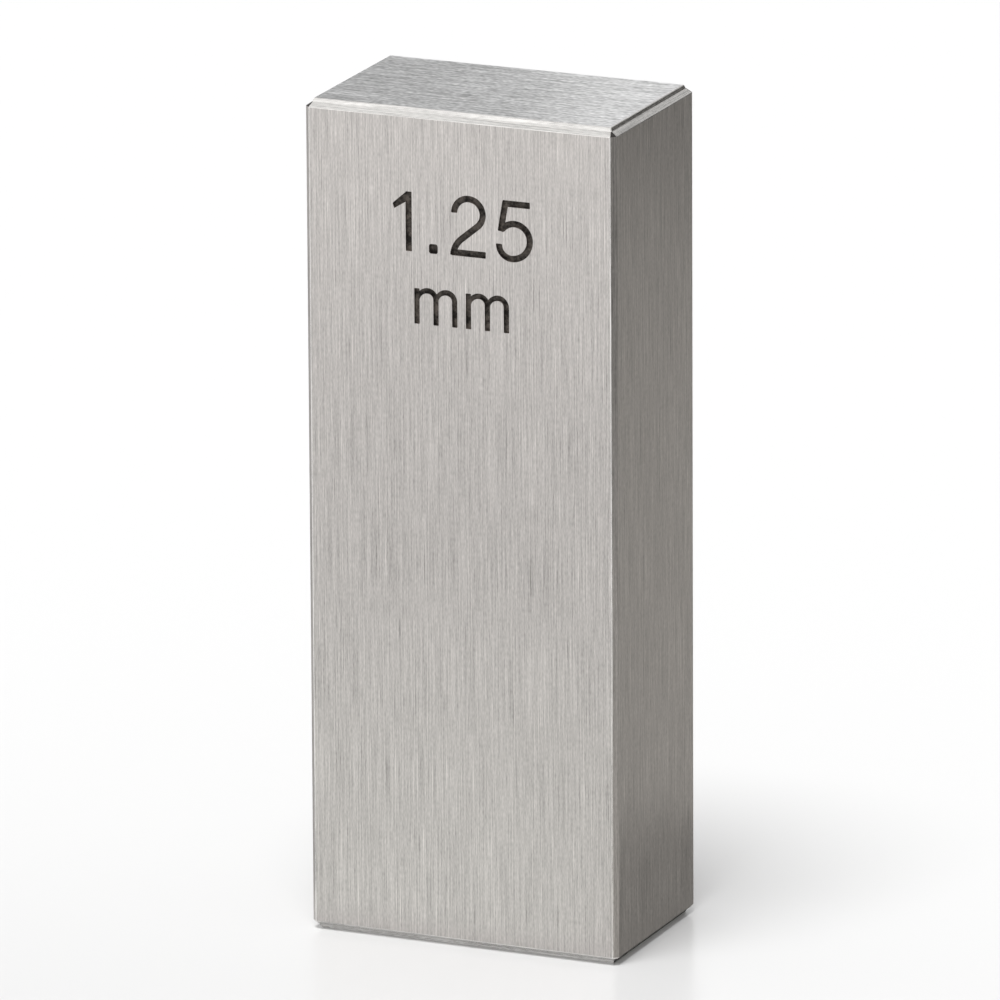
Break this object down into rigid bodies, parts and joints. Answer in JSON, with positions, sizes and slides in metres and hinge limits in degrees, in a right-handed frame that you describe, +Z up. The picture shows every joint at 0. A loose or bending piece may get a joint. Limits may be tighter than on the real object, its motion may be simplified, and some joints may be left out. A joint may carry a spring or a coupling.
{
  "type": "gauge block",
  "caption": "Upright rectangular steel gauge block with ground faces, chamfered edges and a plain size mark, used as a length standard.",
  "frame": {"origin": "middle of the end that the block stands on", "axes": "+Z up the long side, -Y out of the face that carries the size mark, +X to the right of that face"},
  "size_m": [0.0116, 0.007, 0.03],
  "materials": {
    "ground_steel": "surface-ground hardened steel, fine straight grain"
  },
  "bodies": {
    "root": {"gauge_block": "ground_steel"}
  },
  "joints": []
}
